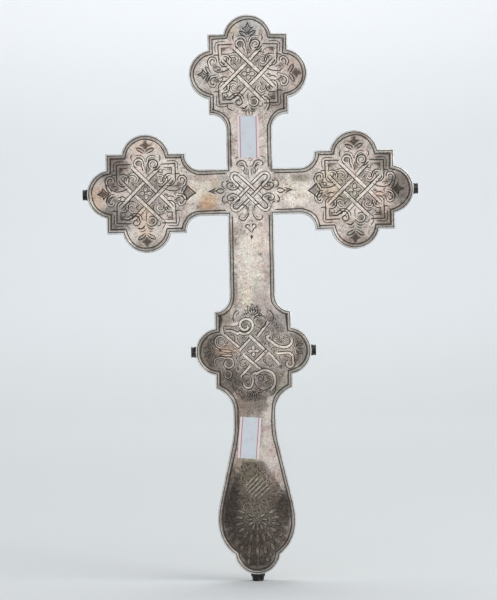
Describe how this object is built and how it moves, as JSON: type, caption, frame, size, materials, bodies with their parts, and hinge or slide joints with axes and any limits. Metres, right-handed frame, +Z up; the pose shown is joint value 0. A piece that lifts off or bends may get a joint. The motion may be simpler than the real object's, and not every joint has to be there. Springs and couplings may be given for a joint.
{
  "type": "hand cross",
  "caption": "Flat hand cross of engraved silver sheet on a wooden core, with quatrefoil ends, a cartouche on the stem, studs on its edge and a flared grip.",
  "frame": {"origin": "middle of the bounding box, at the lowest point of the stud under the grip", "axes": "+Z up along the stem to the top end, the engraved back faces -Y and the front faces +Y, +X towards the arm on the right of the engraved back"},
  "size_m": [0.2074, 0.012, 0.35],
  "materials": {
    "engraved_silver": "engraved silver sheet with uneven brown and grey tarnish",
    "front_silver": "polished silver sheet, lightly tarnished",
    "rim_silver": "burnished silver band with dark tarnish",
    "bead_silver": "burnished silver wire, dark where it meets the sheet",
    "silver_wire": "drawn silver wire",
    "oxidised_silver": "black oxidised silver",
    "dark_stone": "polished dark cabochon",
    "core_wood": "sawn hardwood, hidden",
    "label_paper": "matt adhesive label paper with a red line along each side"
  },
  "bodies": {
    "root": {"applied_cross": "front_silver", "back_plate": "engraved_silver", "bottom_cabochon": "dark_stone", "bottom_collet": "oxidised_silver", "crossing_boss": "front_silver", "front_plate": "front_silver", "left_arm_cabochon": "dark_stone", "left_arm_collet": "oxidised_silver", "left_back_bead": "bead_silver", "left_cartouche_cabochon": "dark_stone", "left_cartouche_collet": "oxidised_silver", "left_front_bead": "bead_silver", "left_rim_band": "rim_silver", "left_roundel": "front_silver", "lower_back_bead": "bead_silver", "lower_front_bead": "bead_silver", "lower_label": "label_paper", "lower_rim_band": "rim_silver", "lower_roundel": "front_silver", "right_arm_cabochon": "dark_stone", "right_arm_collet": "oxidised_silver", "right_back_bead": "bead_silver", "right_cartouche_cabochon": "dark_stone", "right_cartouche_collet": "oxidised_silver", "right_front_bead": "bead_silver", "right_rim_band": "rim_silver", "right_roundel": "front_silver", "stud_pins": "silver_wire", "upper_back_bead": "bead_silver", "upper_front_bead": "bead_silver", "upper_label": "label_paper", "upper_rim_band": "rim_silver", "upper_roundel": "front_silver", "wood_core": "core_wood"}
  },
  "joints": []
}
